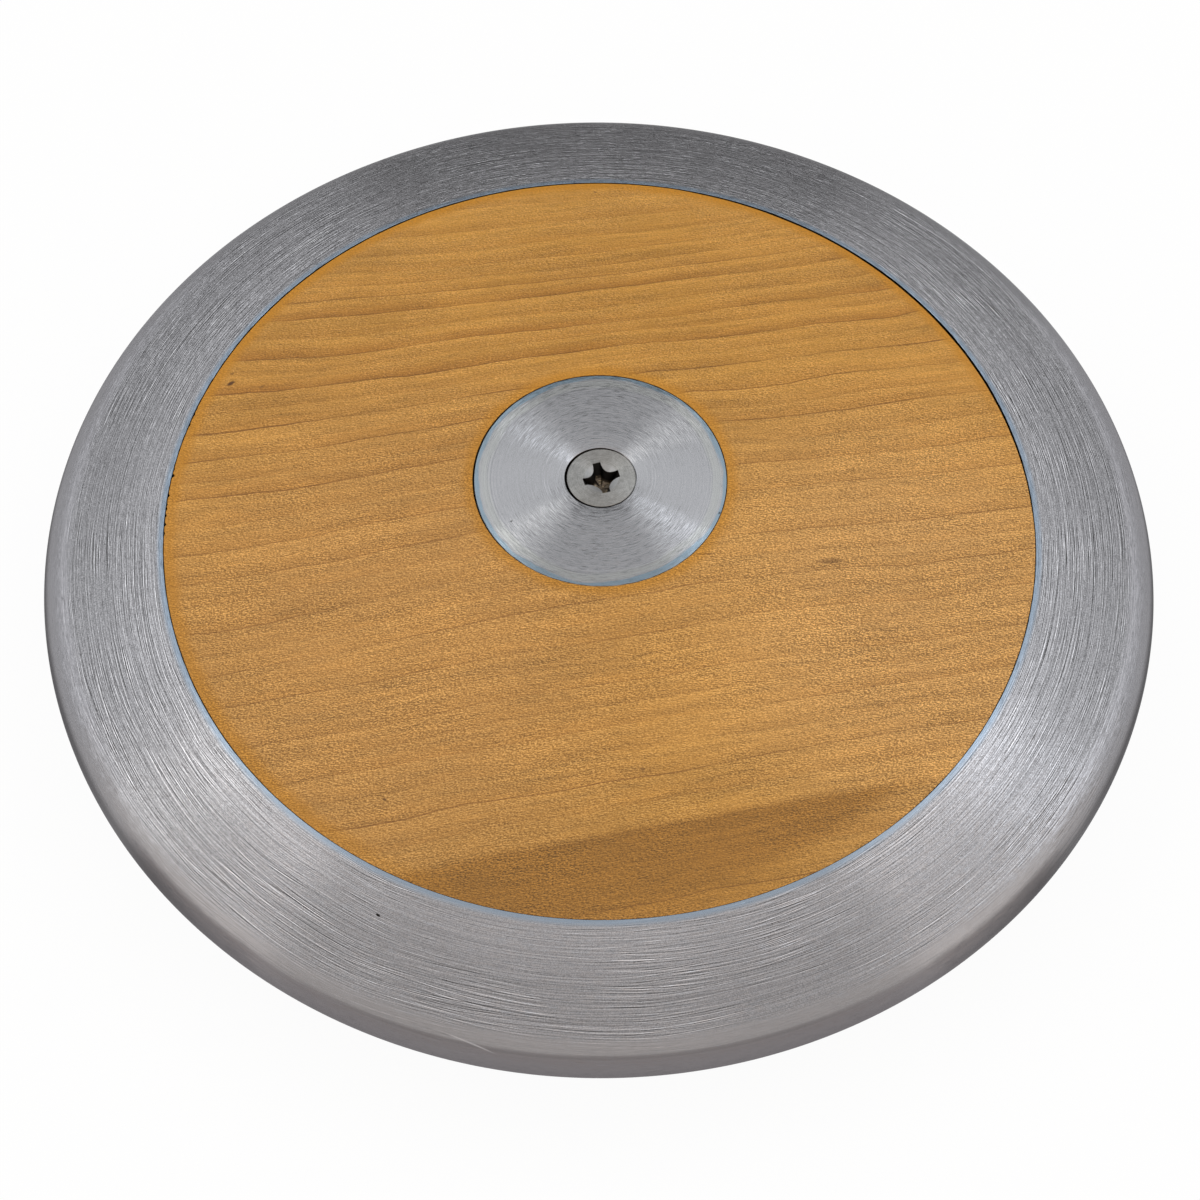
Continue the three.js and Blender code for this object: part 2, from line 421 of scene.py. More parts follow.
def scored(graph, x, y, marks, seed):
    """The relief of one set of marks, each a light line beside a dark one: painted light and shade where it
    colours the steel, a real tilt where it bends the normal
    """
    dx, dy = graph.less(x, marks.centre[0]), graph.less(y, marks.centre[1])
    radius = graph.length(dx, dy)
    reach = graph.times(radius, marks.length)
    across = graph.math("MULTIPLY_ADD", radius, 1 / marks.width, MARKS_STEP * seed)
    along = [graph.math("DIVIDE", offset, reach) for offset in (dx, dy)]
    height = graph.embossed(*along, across, (0, 0, MARK_OFFSET))
    if marks.bold:
        height = graph.times(height, graph.math("ABSOLUTE", height), BOLD_GAIN)
    if marks.patch:
        cover = graph.noise(*graph.in_units((x, y), marks.patch), PATCH_STEP * seed)
        height = graph.times(height, graph.ease(cover, -0.15, 0.25))
    if marks.zone:
        height = graph.times(height, graph.band(radius, *marks.zone))
    return graph.times(height, marks.weight)


class TurnedSteel(Material):
    """Bright steel, turned and dressed with emery, which spreads its shine outwards from the centre"""

    def __init__(self, name, base, marks, polish):
        super().__init__(name, Metallic=1.0, Anisotropic=1.0)
        self.base, self.polish = base, polish
        self.x, self.y, self.z = self.position()
        self.away = self.length(self.x, self.y)
        self.level = self.math("ABSOLUTE", self.z)
        grain = self.noise(*self.in_units((self.x, self.y, self.z), GRAIN_SIZE), detail=1.0)
        self.relief = self.times(grain, polish.grain)
        self.bold = 0.0
        for seed, layer in enumerate(marks):
            height = scored(self, self.x, self.y, layer, seed)
            self.relief = self.add(self.relief, height)
            if layer.bold:
                self.bold = self.add(self.bold, height)

    def paint(self, calm=None, fall=()):
        """The colour: calm is where the marks fade out, as two heights, and fall is a list of (radius,
        share of the light that the steel gives back) pairs"""
        calm_share, darkest = 0.12, 0.15
        if calm:
            self.relief = self.times(self.relief, self.ease(self.level, *calm, calm_share, 1.0))
        cloud = self.noise(*self.in_units((self.x, self.y, self.z), CLOUD_SIZE))
        tone = self.add(self.weighted((self.relief, self.polish.gain), (cloud, 0.1)), 1.0)
        if fall:
            tone = self.times(tone, self.curve(self.away, fall))
        self.shown = self.shade(self.base, self.math("MAXIMUM", tone, darkest))

    def ring(self, tint, centre, half, soft, amount):
        self.tint(tint, self.band(self.away, centre, half, soft), amount)

    def speck(self, tint, centre, length, width, turn, amount=1.0):
        self.tint(tint, self.spot(self.x, self.y, centre, length, width, turn), amount)

    def grooved_normal(self):
        """The face's normal, tilted towards and away from the centre by the marks and the finest grooves"""
        outline = self.less(self.away, self.level)
        groove = self.noise(*self.in_units((self.x, self.y, outline), *GROOVE_SIZES), detail=1.0)
        slope = self.weighted((groove, self.polish.groove), (self.relief, self.polish.tilt))
        normal = self.node("NewGeometry").outputs["Normal"]
        round_axis = self.combine(self.times(self.y, -1.0), self.x)
        outward = self.vector("NORMALIZE", self.vector("CROSS_PRODUCT", round_axis, normal))
        tilted = self.vector("MULTIPLY_ADD", outward, self.combine(slope, slope, slope), normal)
        return self.vector("NORMALIZE", tilted)

    def finish(self):
        roughness, swing, twist = self.polish.roughness, 0.03, self.polish.twist
        self.set("Base Color", self.shown)
        self.set("Roughness", self.line(self.relief, -0.5, 0.5, roughness + swing, roughness - swing))
        self.streak(self.line(self.bold, -0.5, 0.5, OUTWARDS - twist, OUTWARDS + twist))
        self.set("Normal", self.grooved_normal())
        return self.material


RIM_MARKS = [
    Marks((0, 0), 0.14, 0.18, 0.50),
    Marks((0, 0), 0.45, 0.26, 0.40),
    Marks((0, 0), 0.90, 1.40, 0.12),
    Marks((3.5, -2.0), 0.22, 0.20, 1.0, patch=24, bold=True),
    Marks((-4.0, 2.5), 0.18, 0.17, 1.0, patch=18, bold=True),
]
RIM_POLISH = Polish(gain=1.2, grain=0.7, roughness=0.25, tilt=0.03, groove=0.9, twist=0.065)
RIM_FALL = [(84, 1.17), (90, 1.09), (97, 0.96), (103, 0.94), (106, 1.10), (111, 1.10)]


def rim_steel():
    """The rim's steel, with stronger marks at the far side, a blue inner edge and painted light and shade on
    the nose
    """
    steel = TurnedSteel("rim_steel", STEEL, RIM_MARKS, RIM_POLISH)
    steel.set("Specular Tint", (0.5, 0.5, 0.51, 1.0))
    near_share = steel.ease(steel.y, -85, -55, 0.65, 1.0)
    far_share = steel.ease(steel.y, 10, 60, 1.0, 1.6)
    steel.relief = steel.times(steel.relief, near_share, far_share)
    steel.paint(calm=(5.6, 6.4), fall=RIM_FALL)
    steel.ring(BLUE, SEAT_RADIUS, 0.4, 1.2, 0.9)

    # The nose has painted light and shade: a painted highlight along its top at the left and right, a
    # painted shaded corner on each side of the front, and below them a band of painted dark reflection with
    # a darker line in front, and painted shade at its edge at the left and right.
    side = steel.math("ABSOLUTE", steel.math("DIVIDE", steel.x, steel.away))
    steel.tint(NOSE_LIGHT, steel.ease(side, 0.7, 1.0), steel.ease(steel.away, 103.2, 105.2), 0.5)
    corner = steel.times(steel.band(side, 0.66, 0.07, 0.09), steel.ease(steel.y, 0, -40))
    steel.tint(NOSE_CORNER, corner, steel.ease(steel.level, 5.2, 4.0), 0.85)
    steel.tint(BAND, steel.ease(steel.level, 5.0, 3.7), steel.ease(side, 0.75, 0.45, 0.15, 1.0), 0.95)
    steel.tint(BAND_LINE, steel.band(steel.level, 4.35, 0.1, 0.35), steel.ease(side, 0.6, 0.3), 0.5)
    steel.tint(GRIME_AND_SHADE, steel.ease(side, 0.6, 0.95), steel.ease(steel.level, 4.4, 2.6, 0.0, 0.65))

    steel.speck(GRIME_AND_SHADE, (-38.2, -84.2), 1.3, 0.6, -35)
    steel.speck(SCRATCH, (-21.6, -105.7), 12, 0.3, -20, 0.8)
    # Painted shade on the upright walls of the seat, in the joint with the wood
    steel.tint(GRIME_AND_SHADE, steel.walls(), steel.ease(steel.away, SEAT_RADIUS + 0.1, SEAT_RADIUS + 0.05))
    return steel.finish()


PLATE_MARKS = [
    Marks((0, 0), 0.8, 0.22, 0.2),
    Marks((0, 0), 1.4, 0.34, 0.15),
    Marks((0.3, -0.4), 0.9, 0.22, 0.2, patch=6, bold=True),
    Marks((0, 0), 2.5, 0.28, 0.9, zone=(22.0, 0.9, 1.0)),
    Marks((0.2, 0.2), 1.5, 0.24, 0.5, patch=5, bold=True, zone=(9.0, 1.5, 2.5)),
]
PLATE_POLISH = Polish(gain=0.25, grain=0.4, roughness=0.2, tilt=0.01, groove=0.65, twist=0.01)


def plate_steel():
    """The plates' steel, with a paler ring of painted highlight and a blue seam at its edge, and painted
    shade in the countersink at the left
    """
    steel = TurnedSteel("plate_steel", PLATE_STEEL, PLATE_MARKS, PLATE_POLISH)
    steel.paint()
    drift = steel.noise(*steel.in_units((steel.x, steel.y), 9), 2.2)
    ragged = steel.add(steel.away, steel.times(steel.relief, 0.4), steel.times(drift, 1.1))
    # A painted highlight: a paler ring just inside the blue seam
    steel.tint(PLATE_RING, steel.band(ragged, 22.1, 0.3, 0.9), 0.6)
    steel.tint(SEAM, steel.ease(ragged, PLATE_RADIUS - 1.2, PLATE_RADIUS - 0.8), 0.9)
    steel.ring(PLATE_EDGE, PLATE_RADIUS - 0.05, 0.05, 0.12, 0.5)
    steel.speck(GRIME_AND_SHADE, (-16.7, -10.2), 0.8, 0.4, 30, 0.6)
    steel.speck(GRIME_AND_SHADE, (22.6, -7.7), 0.9, 0.5, 60, 0.7)
    # Painted shade in the gap between the countersink and the screw's head, at the left
    mouth = COUNTERSINK_RADIUS - COUNTERSINK_DROP
    steel.tint(GRIME_AND_SHADE, steel.ease(steel.away, mouth, mouth - 0.06), steel.ease(steel.x, 6.4, 2.0))
    return steel.finish()


def screw_steel():
    """The screw's steel: dull and faintly turned, with painted shade at the left, in the gap and deep in the
    recess, a painted highlight on the recess's mouth, and dust with painted glints on the recess floor
    """
    steel = Material("screw_steel", Metallic=1.0, Anisotropic=0.85)
    x, y, z = steel.position()
    x = steel.less(x, SCREW_CENTRE)
    away = steel.length(x, y)
    below = steel.less(HEAD_TOP, steel.math("ABSOLUTE", z))
    mottle = steel.noise(*steel.in_units((x, y), 0.8), z, detail=3.0)
    grain = steel.noise(*steel.in_units((x, y, z), 0.25), detail=1.0)
    turn = scored(steel, x, y, Marks((0, 0), 0.6, 0.16, 1.0), 2)
    # Painted shade: the head is a little darker towards the left
    left_shade = steel.ease(x, -5, 1, 0.9, 1.0)
    tone = steel.add(steel.weighted((mottle, 0.2), (turn, 0.25), (grain, 0.25)), left_shade)
    steel.shown = steel.shade(SCREW_STEEL, tone)

    # A painted highlight on the recess's coned mouth
    mouth = steel.ease(away, MOUTH_RADIUS + 0.15, MOUTH_RADIUS)
    steel.tint(MOUTH_HIGHLIGHT, steel.ease(below, 0.01, 0.05), mouth, 0.7)
    # Painted shade in the gap round the head, at the left, and deep in the recess
    gap = steel.times(steel.ease(below, 0.05, 0.35), steel.ease(away, 6.3, 6.5), steel.ease(x, 6.0, 1.0))
    cone = steel.math("MAXIMUM", steel.times(steel.less(MOUTH_RADIUS, away), MOUTH_SLOPE), 0.0)
    deep = steel.times(steel.ease(steel.less(below, cone), 0.04, 0.16), 0.97, steel.ease(away, 5.0, 4.5))
    steel.tint(GRIME_AND_SHADE, steel.math("MAXIMUM", gap, deep))
    # The recess floor: dust with painted glints
    glint = steel.ease(steel.noise(*steel.in_units((x, y), 0.5, 0.25), 4.0), 0.15, 0.45)
    floor = steel.ease(below, RECESS_DEPTH - 0.8, RECESS_DEPTH - 0.1)
    steel.tint(steel.mix(glint, DUST, GLINT), floor, steel.ease(away, 2.9, 2.6))

    steel.set("Base Color", steel.shown)
    steel.set("Roughness", steel.line(mottle, -0.5, 0.5, 0.5, 0.38))
    steel.streak(OUTWARDS)
    steel.set("Normal", steel.bump(steel.add(mottle, steel.times(turn, 0.5), grain), 0.012))
    return steel.material


INNER_MARKS = [
    Marks((0, 0), 0.9, 0.25, 0.7),
    Marks((0, 0), 0.5, 0.9, 0.5, patch=9),
    Marks((1.5, 1.0), 0.2, 0.3, 0.8, patch=7, bold=True),
]
INNER_POLISH = Polish(gain=0.6, grain=0.4, roughness=0.38, tilt=0.2, groove=0.4, twist=0.02)


def inner_steel():
    """Plain machined steel for the pieces inside"""
    steel = TurnedSteel("inner_steel", INNER_STEEL, INNER_MARKS, INNER_POLISH)
    steel.paint()
    stain = steel.noise(*steel.in_units((steel.x, steel.y, steel.z), 4), detail=4.0)
    steel.tint(STAIN, steel.ease(stain, 0.15, 0.45), 0.5)
    return steel.finish()


def felt():
    """Pressed grey wool"""
    wool = Material("felt", Roughness=0.95, Sheen_Weight=0.3, Specular_IOR_Level=0.2)
    x, y, z = wool.position()
    hairs = wool.noise(*wool.in_units((x, y, z), 0.35), 5.0, 2.5)
    flock = wool.noise(*wool.in_units((x, y, z), 3), 3.0)
    tone = wool.add(wool.weighted((hairs, 0.8), (flock, 0.3)), 1.0)
    wool.set("Base Color", wool.shade(WOOL, wool.math("MAXIMUM", tone, 0.2)))
    wool.set("Normal", wool.bump(wool.add(hairs, flock), 0.25))
    return wool.material


rim_material = rim_steel()
plate_material = plate_steel()
screw_material = screw_steel()


def carried_over():
    """Finishes for the pieces inside, which keep the shapes that the frame gives them"""
    steel, wool = inner_steel(), felt()
    finishes = {"core_sleeve": steel, "upper_felt_ring": wool, "lower_felt_ring": wool}
    for number in range(1, 5):
        finishes[f"tuning_washer_{number}"] = steel
    for node, material in finishes.items():
        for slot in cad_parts[node].material_slots:
            slot.material = material


carried_over()


# The growth rings: the height of each dark line in millimetres at x = 0, how dark the line is, and how
# dark the late wood above it is
GROWTH_RINGS = [
    (-96, 0.5, 0.5), (-91, 0.5, 0.3), (-87, 0.5, 0.3), (-83.8, 0.9, 0.2), (-78, 0.3, 0.5), (-71.3, 0.4, 0.2),
    (-66, 0.3, 0.4), (-61.1, 0.9, 0.4), (-56, 0.2, 0.3), (-51.2, 0.5, 0.5), (-47, 0.3, 0.3), (-43, 0.6, 0.4),
    (-38.5, 0.3, 0.2), (-34.5, 0.8, 0.5), (-31, 0.2, 0.3), (-27, 0.8, 0.4), (-22.5, 0.3, 0.3),
    (-18, 0.8, 0.5), (-13, 0.3, 0.3), (-8.7, 0.8, 0.5), (-2.5, 0.7, 0.5), (3, 0.3, 0.3), (8.5, 0.9, 0.6),
    (12, 0.4, 0.4), (17, 0.9, 0.5), (23.4, 1.0, 0.5), (27.5, 0.3, 0.3), (31.6, 1.0, 1.0), (36, 0.3, 0.4),
    (39.5, 0.9, 1.0), (44.5, 0.3, 0.4), (49.8, 0.8, 0.9), (54.3, 0.8, 0.5), (58, 0.6, 0.4), (62, 0.4, 0.4),
    (67, 0.3, 0.4), (73, 0.4, 0.4), (80, 0.4, 0.3), (88, 0.3, 0.3), (98, 0.3, 0.3),
]

# How fast the rings rise to the right, and how far up they are looked at to tell how close they lie
RING_SLOPE = 0.19
RING_PROBE = 0.8

# A ring's dark line: the widths where it is full and where it ends, and how much it favours the darkest
HAIR_CORE = 0.12
HAIR_WIDTH = 0.36
HAIR_CONTRAST = 1.6

# The width over which the late wood fades out above the line
LATE_WIDTH = 4.4

# The middles of the two places that hands have rubbed
LEFT_HAND = (-42, -35)
RIGHT_HAND = (62, -24)

# Dark flecks in the upper side: centre, length, width, turn in degrees and strength
WOOD_FLECKS = [
    ((-75.2, 29.4), 2.4, 1.3, 35, 0.9),
    ((-70.2, 44.6), 1.9, 0.7, 30, 0.6),
    ((-68.5, 27.6), 1.4, 0.7, 40, 0.5),
    ((-75.3, 31.9), 1.1, 0.6, 10, 0.6),
    ((-2.0, 81.8), 0.9, 0.7, 0, 0.7),
    ((43.5, -15.6), 7.0, 1.6, 12, 0.45),
    ((19.6, -16.9), 5.0, 0.7, 3, 0.6),
    ((-38.0, -63.5), 1.1, 0.7, 0, 0.7),
    ((8.2, -58.4), 1.0, 0.8, 0, 0.5),
    ((51.0, -40.2), 1.6, 0.7, 20, 0.4),
]


class Wood(Material):
    """Flat-sawn hardwood under a thin satin lacquer, its figure turned and shifted on the piece"""

    def __init__(self, name, turn, shift, flecks=()):
        super().__init__(name, Roughness=0.5, Specular_IOR_Level=0.3)
        self.x0, self.y0, self.z0 = self.position()
        self.away = self.length(self.x0, self.y0)
        cosine, sine = math.cos(turn), math.sin(turn)
        self.x = self.add(self.times(self.x0, cosine), self.times(self.y0, sine))
        self.y = self.add(self.less(self.times(self.y0, cosine), self.times(self.x0, sine)), shift)
        self.lay_rings()
        self.draw_rings()
        self.raise_grain()
        self.paint()
        for fleck in flecks:
            self.fleck(*fleck)
        self.finish_edges()
        self.set("Base Color", self.shown)
        height = self.less(self.weighted((self.fibre, 0.4), (self.grain, 1.2)), self.times(self.hair, 0.3))
        self.set("Normal", self.bump(height, 0.03))

    def along(self, length, width, seed, detail=2.0):
        """Noise that is drawn out along the rings"""
        return self.noise(*self.in_units((self.x, self.growth), length, width), seed, detail=detail)

    def lay_rings(self):
        """growth is how far up the rings a place lies. They bend more the higher they are."""
        square = self.times(self.x, self.x)
        sloped = self.less(self.y, self.times(self.x, RING_SLOPE))
        rise = self.less(sloped, self.times(square, 0.001))
        bend = self.line(rise, -25, 55, 0.0005, 0.0019, clamp=True)
        wave = self.noise(*self.in_units((self.x, self.y), 34, 18), 1.7, detail=1.0)
        self.ripple = self.noise(*self.in_units((self.x, self.y), 6, 4), 5.1, detail=4.0)
        growth = self.less(sloped, self.times(square, bend))
        self.growth = self.add(growth, self.times(wave, 1.6), self.times(self.ripple, 0.35))

    def draw_rings(self):
        """hair is the dark line at the foot of each ring, and late the late wood above it"""
        last = len(GROWTH_RINGS) - 1
        shares = [(height, index / last) for index, (height, _, _) in enumerate(GROWTH_RINGS)]
        hair_weights = [(index, hair ** HAIR_CONTRAST) for index, (_, hair, _) in enumerate(GROWTH_RINGS)]
        late_weights = [(index, late) for index, (_, _, late) in enumerate(GROWTH_RINGS)]
        ring = self.times(self.curve(self.growth, shares), last)
        ahead = self.times(self.curve(self.add(self.growth, RING_PROBE), shares), last)
        number = self.math("FLOOR", ring)
        passed = self.math("MAXIMUM", self.less(ahead, ring), 0.05)
        above = self.times(self.math("DIVIDE", self.math("FRACT", ring), passed), RING_PROBE)
        patch = self.noise(self.times(self.x, 1 / 26), self.times(number, 1.37), 0.0, detail=1.0)
        fade = self.ease(patch, -0.35, 0.2, 0.3, 1.0)
        hair = self.times(self.ease(above, HAIR_WIDTH, HAIR_CORE), self.curve(number, hair_weights))
        late = self.times(self.ease(above, LATE_WIDTH, 0.0), self.curve(number, late_weights))
        self.hair = self.times(hair, fade)
        self.late = self.times(late, self.line(fade, 0, 1, 0.4, 1.0))

    def raise_grain(self):
        """grain is the finest relief, which stands highest where hands have rubbed the lacquer"""
        self.right_hand = self.ease(self.distance(self.x0, self.y0, RIGHT_HAND), 66, 14)
        self.left_hand = self.ease(self.distance(self.x0, self.y0, LEFT_HAND), 80, 15, 0.0, 0.85)
        self.fibre = self.along(length=3.6, width=0.26, seed=3.3)
        self.pits = self.along(length=0.35, width=0.17, seed=2.2, detail=0.0)
        fine = self.in_units((self.x, self.growth), 0.65, 0.23)
        coarse = self.in_units((self.x, self.growth), 2.4, 1.2)
        # The embossed dents and waves give each spot a painted lit side and a painted shaded one, which the
        # bump also raises
        self.dents = self.embossed(*fine, 9.1, (0.2, 0.4, 0), 1.0, 0.3)
        waves = self.embossed(*coarse, 5.6, (0.2, 0.3, 0), 2.0, 0.4)
        patch = self.noise(*self.in_units((self.x, self.y), 14, 9), 4.4)
        raised = self.add(0.75, self.times(self.left_hand, 0.6), self.right_hand)
        raised = self.times(raised, self.ease(patch, -0.35, 0.35, 0.7, 1.2))
        grain = self.add(self.dents, self.times(self.pits, 0.9), self.times(waves, 0.12))
        self.grain = self.math("MAXIMUM", self.times(grain, raised, 0.85), -0.45)

    def grained(self, tint, tone, share):
        return self.shade(tint, self.add(tone, self.times(self.grain, share)))

    def paint(self):
        """The colour of the wood, its late wood, its band of heartwood and the lines of its rings"""
        self.shown = TAN
        self.tint(LEFT_HAND_TAN, self.left_hand)
        self.tint(RIGHT_HAND_TAN, self.right_hand)
        # Paler on the painted lit side of the relief and deeper on its painted shaded side
        self.tint(LIGHT_GRAIN, self.ease(self.grain, 0.0, 0.4, 0.0, 0.5))
        self.tint(DARK_GRAIN, self.ease(self.grain, 0.0, -0.4, 0.0, 0.5))
        fall = self.times(self.ease(self.y0, -40, -75, 1.0, 0.9), self.ease(self.x0, -10, 40, 1.0, 1.04))
        self.shown = self.shade(self.shown, fall)
        streak = self.along(length=18, width=1.1, seed=7.3, detail=3.0)
        cloud = self.along(length=45, width=8, seed=6.2)
        tone = self.add(self.weighted((self.fibre, 0.3), (streak, 0.3), (cloud, 0.2)), 1.0)
        self.shown = self.grained(self.shown, tone, 0.85)

        late = self.times(self.late, self.ease(self.growth, -15, 20, 0.5, 0.8))
        self.tint(self.grained(LATE_WOOD, tone, 0.95), late)
        heart = self.times(self.ease(self.growth, -69.5, -71.8), self.ease(self.growth, -92, -80, 0.5, 1.0))
        worn_off = self.times(heart, self.ease(self.x0, 12, 45), self.ease(self.away, 78, 83, 0.0, 0.8))
        self.tint(self.grained(HEART_WOOD, tone, 1.2), self.less(heart, worn_off), 0.95)
        handled = self.math("MAXIMUM", self.right_hand, self.left_hand)
        # A pale painted highlight on the lit side of the dents, where hands have rubbed the wood
        self.tint(WORN_LIT_GRAIN, self.ease(self.dents, 0.1, 0.5), self.line(handled, 0, 1, 0.1, 0.3))
        self.tint(GROWTH_LINE, self.hair, self.ease(self.growth, -15, 20, 0.75, 0.85))

    def fleck(self, centre, length, width, turn, amount):
        """A dark fleck with a ragged edge"""
        x = self.add(self.x0, self.times(self.pits, 0.3))
        y = self.add(self.y0, self.times(self.ripple, 0.3))
        self.tint(FLECK, self.spot(x, y, centre, length, width, turn), amount)

    def finish_edges(self):
        """Thicker lacquer along the rim and the plate, and painted shade on the wall of the joint"""
        ragged = self.add(self.away, self.times(self.ripple, 0.8))
        sunny = self.ease(self.add(self.y0, self.times(self.x0, -0.9)), -70, -10)
        sunny = self.times(sunny, self.ease(self.y0, -10, 50, 0.75, 1.0))
        near_rim = self.times(self.ease(ragged, WOOD_RADIUS - 3.6, WOOD_RADIUS - 0.9), sunny)
        near_hub = self.ease(ragged, PLATE_RADIUS + 3.2, PLATE_RADIUS + 0.4, 0.0, 0.8)
        tone = self.add(self.times(self.grain, 0.6), self.line(self.left_hand, 0, 1, 1.0, 0.85))
        self.tint(self.shade(THICK_LACQUER, tone), self.math("MAXIMUM", near_rim, near_hub), 0.9)
        # Painted shade on the upright wall inside the joint with the rim
        upper = self.ease(self.math("ABSOLUTE", self.z0), LEDGE_HEIGHT + 2.5, LEDGE_HEIGHT + 4.5)
        self.tint(GRIME_AND_SHADE, self.walls(), upper, 0.95)


wood_materials = {
    "upper": Wood("hardwood_upper", 0.0, 0.0, WOOD_FLECKS).material,
    "lower": Wood("hardwood_lower", math.radians(24), 9.0).material,
}


def mesh_piece(name, vertices, faces, material, angle=28):
    """A solid, its faces outwards, smooth except at edges sharper than the angle in degrees"""
    mesh = bpy.data.meshes.new(name)
    mesh.from_pydata([Vector(v) * MM for v in vertices], [], faces)
    mesh.materials.append(material)
    work = bmesh.new()
    work.from_mesh(mesh)
    bmesh.ops.recalc_face_normals(work, faces=work.faces)
    work.to_mesh(mesh)
    work.free()
    mesh.shade_smooth()
    mesh.set_sharp_from_angle(angle=math.radians(angle))
    piece = bpy.data.objects.new(name, mesh)
    bpy.context.scene.collection.objects.link(piece)
    return piece


def seated(piece, node):
    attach(piece, "root")
    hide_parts(node)


def flank_height(radius):
    return TOP_HEIGHT - (radius - FLAT_RADIUS) * math.tan(FLANK_SLOPE)


def turned(name, outline, material, side, steps, wear=None):
    """A solid of revolution from a closed outline of (radius, height) points. wear gives back a point's
    place after wear, from its angle and its first place."""
    count = len(outline)
    vertices = []
    for step in range(steps):
        angle = 2 * math.pi * step / steps
        for radius, height in outline:
            if wear:
                radius, height = wear(angle, radius, height)
            vertices.append((radius * math.cos(angle), radius * math.sin(angle) * side, height * side))
    faces = []
    for step in range(steps):
        here, after = step * count, (step + 1) % steps * count
        for index in range(count):
            ahead = (index + 1) % count
            faces.append([here + index, after + index, after + ahead, here + ahead])
    return mesh_piece(name, vertices, faces, material)


def arc(centre, radius, start, end, steps):
    angles = [start + (end - start) * step / steps for step in range(steps + 1)]
    return [(centre + radius * math.cos(angle), radius * math.sin(angle)) for angle in angles]


def rim_outline():
    half = GROOVE_WIDTH / 2
    tangent = math.pi / 2 - FLANK_SLOPE
    width = NOSE_CENTRE - SEAT_RADIUS
    inside = [
        (LEDGE_RADIUS, half),
        (LEDGE_RADIUS, LEDGE_HEIGHT - LEDGE_BREAK),
        (LEDGE_RADIUS + LEDGE_BREAK, LEDGE_HEIGHT),
        (SEAT_RADIUS, LEDGE_HEIGHT),
        (SEAT_RADIUS, flank_height(SEAT_RADIUS) - RIM_BREAK),
    ]
    flank = [SEAT_RADIUS + RIM_BREAK] + [SEAT_RADIUS + share * width for share in RIM_FLANK_SHARES]
    upper = inside + [(radius, flank_height(radius)) for radius in flank]
    lower = [(radius, -height) for radius, height in upper]
    groove = arc(OUTER_RADIUS - RIM_WALL - half, half, math.pi / 2, -math.pi / 2, GROOVE_STEPS)
    nose = arc(NOSE_CENTRE, NOSE_RADIUS, -tangent, tangent, NOSE_STEPS)
    return groove + lower + nose + upper[::-1]


def side_outline():
    floor = PLATE_FLOOR - SEAT_GAP
    counterbore = PLATE_RADIUS + COUNTERBORE_GAP
    shell = BOSS_RADIUS + BOSS_FLARE
    roof = flank_height(shell) - SHELL_THICKNESS
    flank = (WOOD_RADIUS - WOOD_BREAK,) + WOOD_FLANK_RINGS
    outer = [(WOOD_RADIUS, flank_height(WOOD_RADIUS) - WOOD_BREAK)]
    outer += [(radius, flank_height(radius)) for radius in flank]
    return outer + [
        (FLAT_RADIUS, TOP_HEIGHT),
        (counterbore + WOOD_BREAK, TOP_HEIGHT),
        (counterbore, TOP_HEIGHT - WOOD_BREAK),
        (counterbore, floor),
        (CORE_BORE_RADIUS, floor),
        (CORE_BORE_RADIUS, POCKET_HEIGHT),
        (POCKET_RADIUS, POCKET_HEIGHT),
        (POCKET_RADIUS, SEAT_GAP / 2),
        (BOSS_RADIUS, SEAT_GAP / 2),
        (BOSS_RADIUS, roof - BOSS_FLARE),
        (shell, roof),
        (LEDGE_RADIUS, LEDGE_HEIGHT + SEAT_GAP),
        (WOOD_RADIUS, LEDGE_HEIGHT + SEAT_GAP),
    ]


# How far the wood has shrunk from the rim or swollen against it, and where: depth, and the centre and half
# width of the stretch in degrees
RIM_JOINT = ((0.4, 40, 42), (0.2, 115, 60), (-0.14, 275, 60))
PLATE_JOINT = ((0.2, 180, 60),)
MOST_SWOLLEN = 0.12

# The chips that the rim's joint has lost: how fine they are, how many are left out, and where they lie
CHIP_WAVES = 110
CHIP_LEVEL = 0.12
CHIP_STRETCH = ((1, 178, 16),)
EDGE_WAVES = 14
EDGE_ROUGHNESS = 0.05


def near(angle, stretches):
    """The depths at an angle, each full at its centre and 0 at its half width from there"""
    total = 0
    for depth, centre, half in stretches:
        away = abs((math.degrees(angle) - centre + 180) % 360 - 180)
        total += depth * max(0.0, 1 - (away / half) ** 2)
    return total


def wood_wear(angle, radius, height):
    """The wood has shrunk from the steel at the upper right and swollen at the bottom, has lost chips from
    its left edge, and stands off the plate a little at the left"""
    here = Vector((math.cos(angle), math.sin(angle), 0))
    rough = noise.noise(here * EDGE_WAVES) * EDGE_ROUGHNESS
    if radius > WOOD_RADIUS - 0.2 and height > LEDGE_HEIGHT + 1:
        chips = max(0.0, noise.noise(here * CHIP_WAVES) - CHIP_LEVEL) * near(angle, CHIP_STRETCH)
        return radius - max(-MOST_SWOLLEN, near(angle, RIM_JOINT) + chips + rough), height
    if 0 < radius - PLATE_RADIUS < 1:
        return radius + max(0.0, near(angle, PLATE_JOINT) + rough), height
    return radius, height


